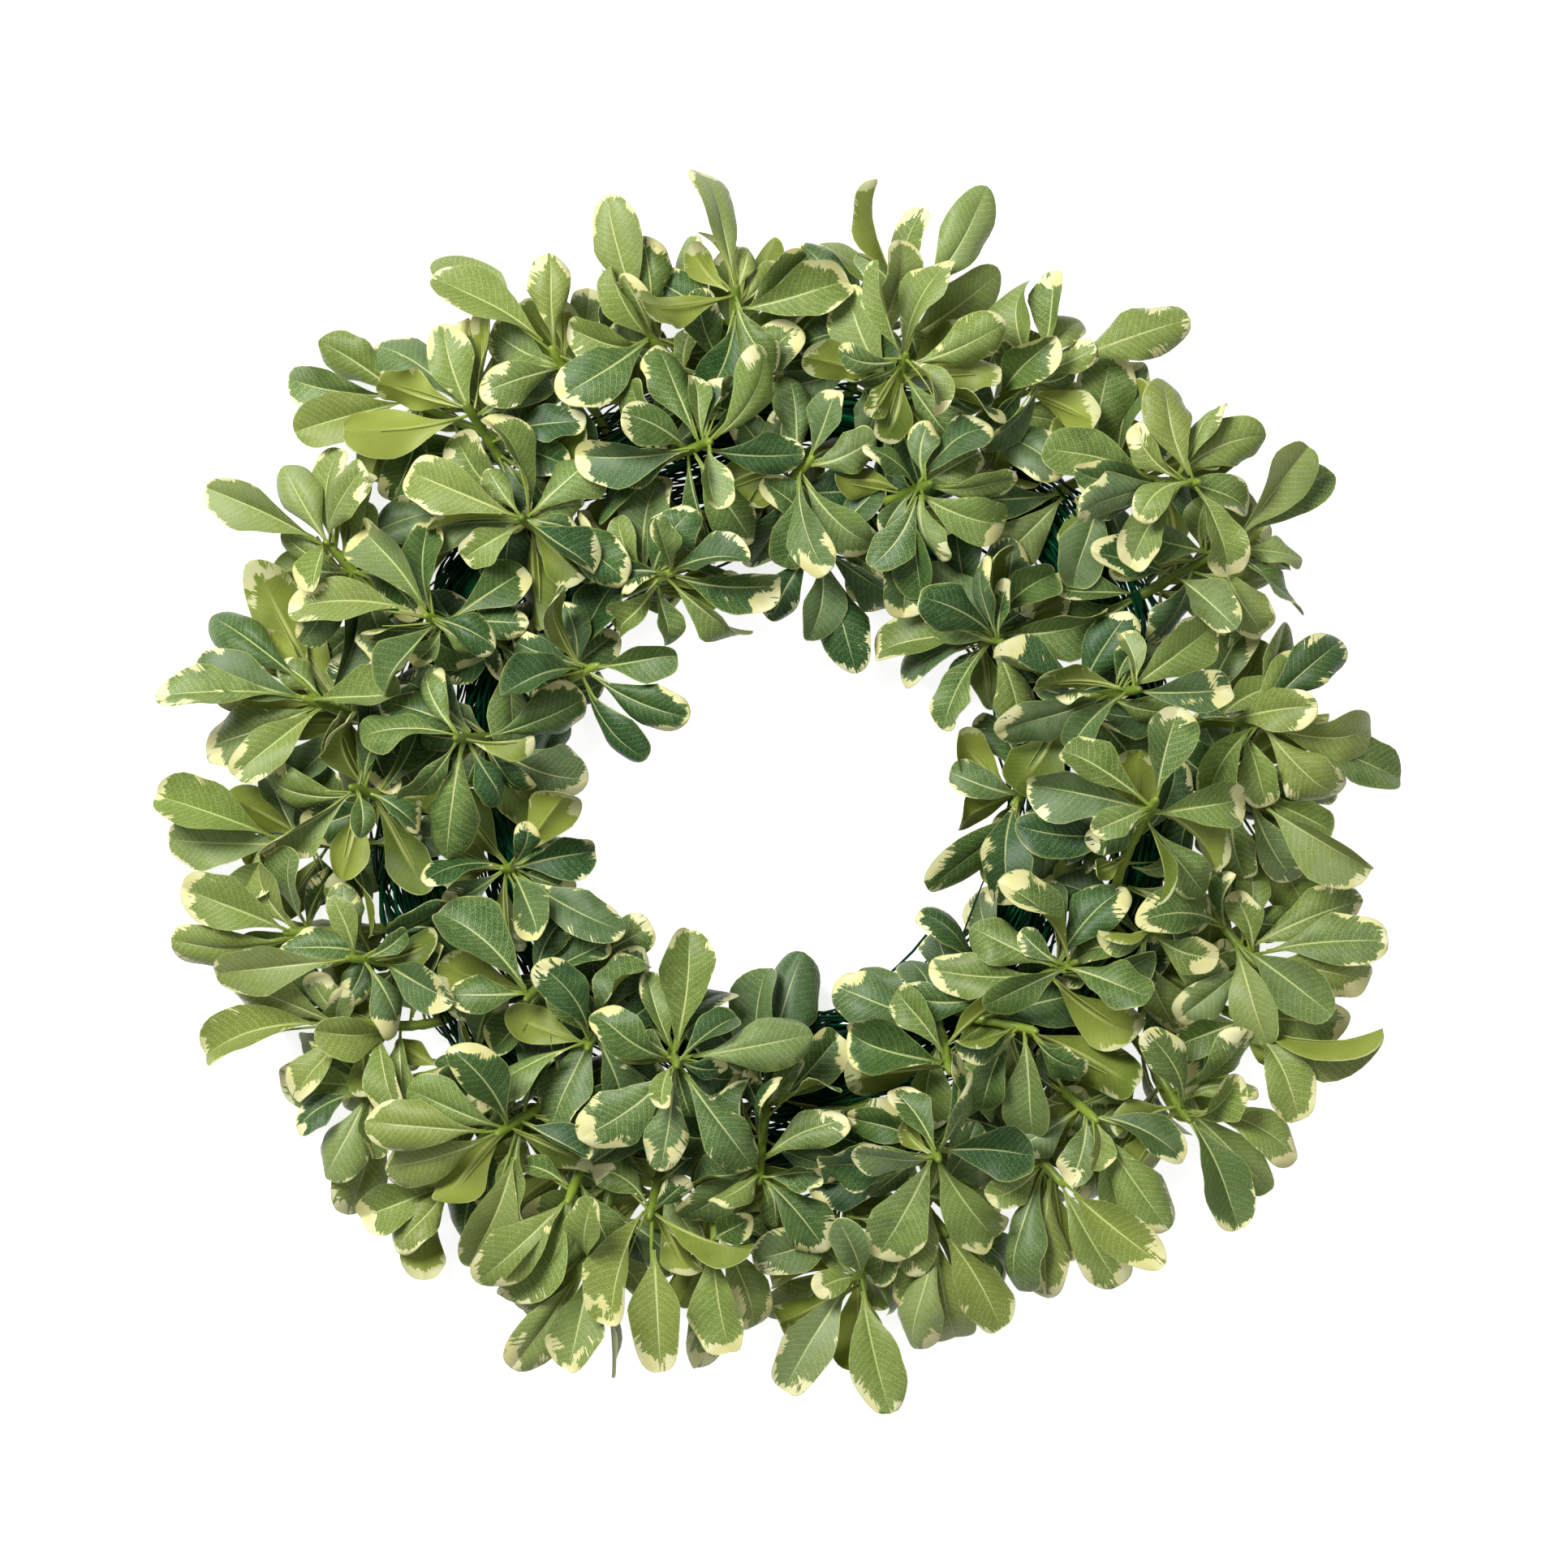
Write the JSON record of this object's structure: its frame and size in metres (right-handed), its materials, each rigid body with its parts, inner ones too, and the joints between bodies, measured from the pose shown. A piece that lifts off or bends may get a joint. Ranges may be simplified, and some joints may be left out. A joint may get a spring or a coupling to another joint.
{
  "type": "pittosporum wreath",
  "caption": "Round artificial wreath of variegated pittosporum sprigs with cream-edged green leaves, fixed on two strand-wrapped wire hoops around an open middle.",
  "frame": {"origin": "middle of the wreath's outline, on the surface that its back lies on", "axes": "+Z out of the wreath's face, +Y to the top of the wreath as pictured, +X to its right"},
  "size_m": [0.6162, 0.6162, 0.0836],
  "materials": {
    "frame wire": "satin",
    "dark strands": "gloss",
    "leaf cloth": "satin"
  },
  "bodies": {
    "root": {"wire_frame": "frame wire", "strand_wrap_inner": "dark strands", "strand_wrap_outer": "dark strands", "sprig_01": "leaf cloth", "sprig_02": "leaf cloth", "sprig_03": "leaf cloth", "sprig_04": "leaf cloth", "sprig_05": "leaf cloth", "sprig_06": "leaf cloth", "sprig_07": "leaf cloth", "sprig_08": "leaf cloth", "sprig_09": "leaf cloth", "sprig_10": "leaf cloth", "sprig_11": "leaf cloth", "sprig_12": "leaf cloth", "sprig_13": "leaf cloth", "sprig_14": "leaf cloth", "sprig_15": "leaf cloth", "sprig_16": "leaf cloth", "sprig_17": "leaf cloth", "sprig_18": "leaf cloth", "sprig_19": "leaf cloth", "sprig_20": "leaf cloth", "sprig_21": "leaf cloth", "sprig_22": "leaf cloth", "sprig_23": "leaf cloth", "sprig_24": "leaf cloth", "sprig_25": "leaf cloth", "sprig_26": "leaf cloth", "sprig_27": "leaf cloth", "sprig_28": "leaf cloth", "sprig_29": "leaf cloth", "sprig_30": "leaf cloth", "sprig_31": "leaf cloth", "sprig_32": "leaf cloth", "sprig_33": "leaf cloth", "sprig_34": "leaf cloth", "sprig_35": "leaf cloth", "sprig_36": "leaf cloth", "sprig_37": "leaf cloth", "sprig_38": "leaf cloth", "sprig_39": "leaf cloth", "sprig_40": "leaf cloth", "sprig_41": "leaf cloth", "sprig_42": "leaf cloth", "sprig_43": "leaf cloth", "sprig_44": "leaf cloth", "sprig_45": "leaf cloth", "sprig_46": "leaf cloth", "sprig_47": "leaf cloth", "sprig_48": "leaf cloth", "sprig_49": "leaf cloth", "sprig_50": "leaf cloth", "sprig_51": "leaf cloth", "sprig_52": "leaf cloth", "sprig_53": "leaf cloth", "sprig_54": "leaf cloth", "sprig_55": "leaf cloth", "sprig_56": "leaf cloth"}
  },
  "joints": []
}
